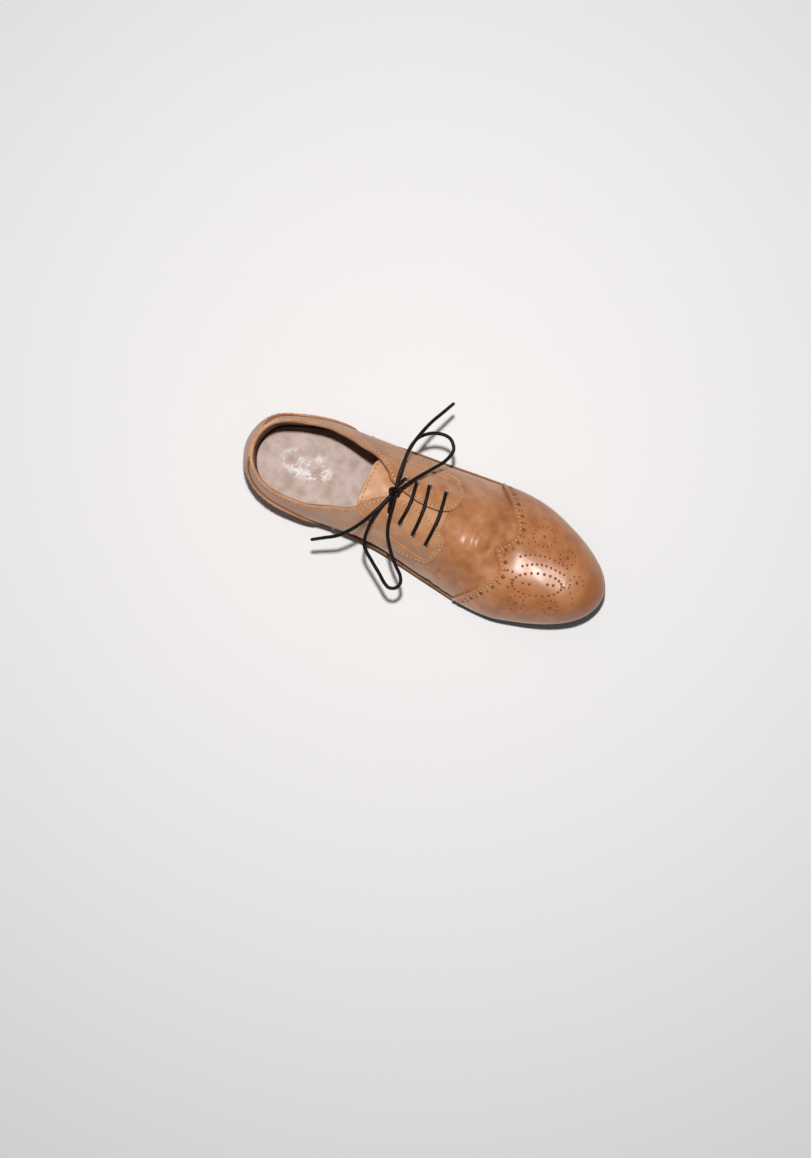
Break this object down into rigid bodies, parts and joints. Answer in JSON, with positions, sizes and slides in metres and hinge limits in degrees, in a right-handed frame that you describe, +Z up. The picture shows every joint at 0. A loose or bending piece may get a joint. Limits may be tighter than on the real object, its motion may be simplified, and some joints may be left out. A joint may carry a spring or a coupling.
{
  "type": "lace-up derby shoe",
  "caption": "Low tan leather lace-up shoe with open lacing, perforated toe cap, heel counter, welted leather sole and low stacked heel.",
  "frame": {"origin": "centre of the shoe's box on the ground, measured without the free lace ends and loops", "axes": "+X heel to toe, +Y to the outside of the left foot, +Z up"},
  "size_m": [0.2778, 0.1356, 0.1042],
  "materials": {
    "cap_leather": "polished burnished tan calf",
    "tan_leather": "polished tan calf, softly creased",
    "tongue_leather": "paler tan calf, lightly polished",
    "lining_leather": "matt beige lining leather",
    "sock_leather": "satin grey-pink sock with a worn silver stamp",
    "insole_leather": "raw vegetable-tanned board",
    "stiffener_board": "stiff leather board",
    "cork": "granulated cork",
    "shank_steel": "plain steel",
    "welt_leather": "natural leather edge, stitched",
    "midsole_leather": "natural layered leather edge",
    "lift_leather": "reddish stacked leather edge",
    "sole_rubber": "matt black-brown rubber",
    "tip_rubber": "matt dark grey rubber",
    "lace_cotton": "round waxed black cotton",
    "tip_film": "black tip film",
    "eyelet_metal": "nickelled brass"
  },
  "bodies": {
    "shoe": {"toe_cap": "cap_leather", "counter_foxing": "cap_leather", "vamp": "tan_leather", "quarter_lateral": "tan_leather", "quarter_medial": "tan_leather", "vamp_lining": "lining_leather", "quarter_lining_lateral": "lining_leather", "quarter_lining_medial": "lining_leather", "toe_puff": "stiffener_board", "heel_stiffener": "stiffener_board", "welt": "welt_leather", "insole_board": "insole_leather", "sock": "sock_leather", "shank": "shank_steel", "cork_filler": "cork", "midsole": "midsole_leather", "forepart_rubber": "sole_rubber", "heel_lift": "lift_leather", "heel_front_piece": "lift_leather", "heel_rubber_tip": "tip_rubber", "lace_run": "lace_cotton", "lace_knot": "lace_cotton", "lace_loop_lateral": "lace_cotton", "lace_loop_medial": "lace_cotton", "lace_end_lateral": "lace_cotton", "lace_end_medial": "lace_cotton", "aglet_lateral": "tip_film", "aglet_medial": "tip_film", "eyelet_lateral_1": "eyelet_metal", "eyelet_lateral_2": "eyelet_metal", "eyelet_lateral_3": "eyelet_metal", "eyelet_lateral_4": "eyelet_metal", "eyelet_medial_1": "eyelet_metal", "eyelet_medial_2": "eyelet_metal", "eyelet_medial_3": "eyelet_metal", "eyelet_medial_4": "eyelet_metal"},
    "tongue": {"tongue": "tongue_leather", "tongue_lining": "lining_leather"}
  },
  "joints": [
    {"name": "tongue_fold", "type": "hinge", "parent": "shoe", "child": "tongue", "pos_m": [0.0227, -0.0016, 0.0655], "axis": [0, 1, 0], "range_deg": [-14, 0], "stiffness_Nm_per_rad": 0.05}
  ]
}
